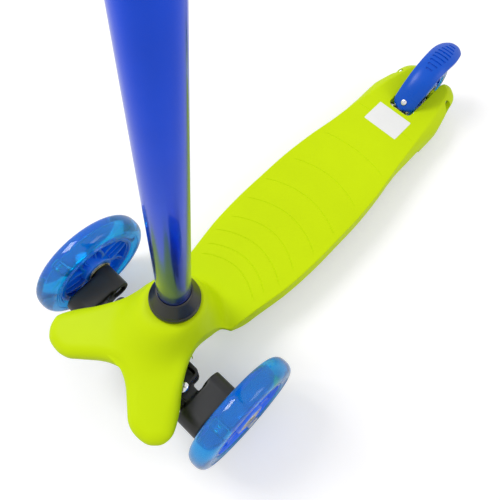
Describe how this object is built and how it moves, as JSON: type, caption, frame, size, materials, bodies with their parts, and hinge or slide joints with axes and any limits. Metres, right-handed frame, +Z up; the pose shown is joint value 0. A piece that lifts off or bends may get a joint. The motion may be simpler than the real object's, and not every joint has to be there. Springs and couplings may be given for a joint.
{
  "type": "three wheel kids scooter",
  "caption": "Lean-to-steer kids scooter with two light-up front wheels, a moulded grip deck, a foot brake over the small rear wheel and a clamped height-adjustable handlebar.",
  "frame": {"origin": "middle of the bounding box on the floor the wheels stand on", "axes": "+Z up, -Y the way it rides, +X the rider's left hand"},
  "size_m": [0.27, 0.5684, 0.6453],
  "materials": {
    "deck_lime": "satin moulded plastic",
    "column_blue": "glossy metallic paint",
    "soft_black": "matte",
    "frame_black": "fine moulded grain",
    "grip_rubber": "matte ribbed",
    "chrome_tube": "polished",
    "fender_blue": "satin",
    "bright_screw": "polished",
    "yellow_zinc": "plated",
    "tyre_blue": "clear gloss",
    "core_blue": "gloss",
    "light_ring": "clear gloss",
    "zinc_steel": "zinc plated"
  },
  "bodies": {
    "deck": {"deck": "deck_lime", "column_collar": "soft_black", "nose_cover": "frame_black", "cover_screw_front": "zinc_steel", "cover_screw_rear": "zinc_steel", "lean_pin": "zinc_steel", "lower_tube": "column_blue", "bottom_plug": "frame_black", "lock_spring": "zinc_steel", "clamp_collar": "frame_black", "clamp_bolt": "zinc_steel", "clamp_nut": "zinc_steel", "brake_pin": "zinc_steel", "brake_spring": "zinc_steel", "rear_axle_bolt": "zinc_steel", "rear_axle_nut": "zinc_steel"},
    "beam": {"steering_beam": "frame_black", "kingpin_left": "zinc_steel", "kingpin_right": "zinc_steel", "centring_spring_left": "zinc_steel", "centring_spring_right": "zinc_steel"},
    "tie_rod": {"tie_rod": "frame_black"},
    "rear_wheel": {"rear_tyre": "tyre_blue", "rear_core": "core_blue", "rear_bearing_left": "zinc_steel", "rear_bearing_right": "zinc_steel", "rear_spacer": "zinc_steel"},
    "brake": {"brake_fender": "fender_blue", "brake_bracket": "zinc_steel", "brake_screw": "bright_screw"},
    "handlebar": {"upper_tube": "chrome_tube", "handlebar_tee": "frame_black", "crossbar": "chrome_tube", "grip_left": "grip_rubber", "grip_right": "grip_rubber"},
    "clamp_lever": {"clamp_lever": "frame_black"},
    "lock_button": {"lock_button": "zinc_steel"},
    "knuckle_left": {"knuckle_left": "frame_black", "axle_bolt_left": "zinc_steel", "axle_nut_left": "zinc_steel", "axle_washer_left": "yellow_zinc"},
    "front_wheel_left": {"front_left_tyre": "tyre_blue", "front_left_core": "core_blue", "front_left_light_ring": "light_ring", "front_left_bearing_left": "zinc_steel", "front_left_bearing_right": "zinc_steel", "front_left_spacer": "zinc_steel"},
    "knuckle_right": {"knuckle_right": "frame_black", "axle_bolt_right": "zinc_steel", "axle_nut_right": "zinc_steel", "axle_washer_right": "yellow_zinc"},
    "front_wheel_right": {"front_right_tyre": "tyre_blue", "front_right_core": "core_blue", "front_right_light_ring": "light_ring", "front_right_bearing_left": "zinc_steel", "front_right_bearing_right": "zinc_steel", "front_right_spacer": "zinc_steel"}
  },
  "joints": [
    {"name": "lean", "type": "hinge", "parent": "deck", "child": "beam", "pos_m": [0, -0.22479, 0.054], "axis": [0, 1, 0], "range_deg": [-7, 7], "stiffness_Nm_per_rad": 40, "deforming": ["centring_spring_left", "centring_spring_right"]},
    {"name": "steer_left", "type": "hinge", "parent": "beam", "child": "knuckle_left", "pos_m": [0.051, -0.22879, 0.0585], "axis": [0, 0, 1], "range_deg": [-15.5, 15.5]},
    {"name": "steer_right", "type": "hinge", "parent": "beam", "child": "knuckle_right", "pos_m": [-0.051, -0.22879, 0.0585], "axis": [0, 0, 1], "range_deg": [-15.5, 15.5]},
    {"name": "tie_rod_slide", "type": "slide", "parent": "beam", "child": "tie_rod", "axis": [1, 0, 0], "range_m": [-0.005, 0.005]},
    {"name": "front_left_spin", "type": "hinge", "parent": "knuckle_left", "child": "front_wheel_left", "pos_m": [0.1027, -0.20779, 0.05982], "axis": [0.9969, 0, 0.0785], "continuous": true},
    {"name": "front_right_spin", "type": "hinge", "parent": "knuckle_right", "child": "front_wheel_right", "pos_m": [-0.1027, -0.20779, 0.05982], "axis": [0.9969, 0, -0.0785], "continuous": true},
    {"name": "rear_spin", "type": "hinge", "parent": "deck", "child": "rear_wheel", "pos_m": [0, 0.23521, 0.038], "axis": [1, 0, 0], "continuous": true},
    {"name": "brake_press", "type": "hinge", "parent": "deck", "child": "brake", "pos_m": [0, 0.18821, 0.036], "axis": [1, 0, 0], "range_deg": [-4.5, 0], "stiffness_Nm_per_rad": 8, "deforming": ["brake_spring"]},
    {"name": "height_slide", "type": "slide", "parent": "deck", "child": "handlebar", "axis": [0, 0.0802, 0.9968], "range_m": [0, 0.08]},
    {"name": "clamp_lever_turn", "type": "hinge", "parent": "deck", "child": "clamp_lever", "pos_m": [0.0118, -0.13137, 0.47688], "axis": [0, 0.0802, 0.9968], "range_deg": [0, 105]},
    {"name": "lock_button_press", "type": "slide", "parent": "deck", "child": "lock_button", "axis": [0, -0.9968, 0.0802], "range_m": [0, 0.007], "stiffness_N_per_m": 400, "deforming": ["lock_spring"]}
  ],
  "couplings": [
    {"joint": "steer_left", "follows": "lean", "ratio": -2.2},
    {"joint": "steer_right", "follows": "lean", "ratio": -2.2},
    {"joint": "tie_rod_slide", "follows": "lean", "m_per_rad": -0.0396}
  ]
}
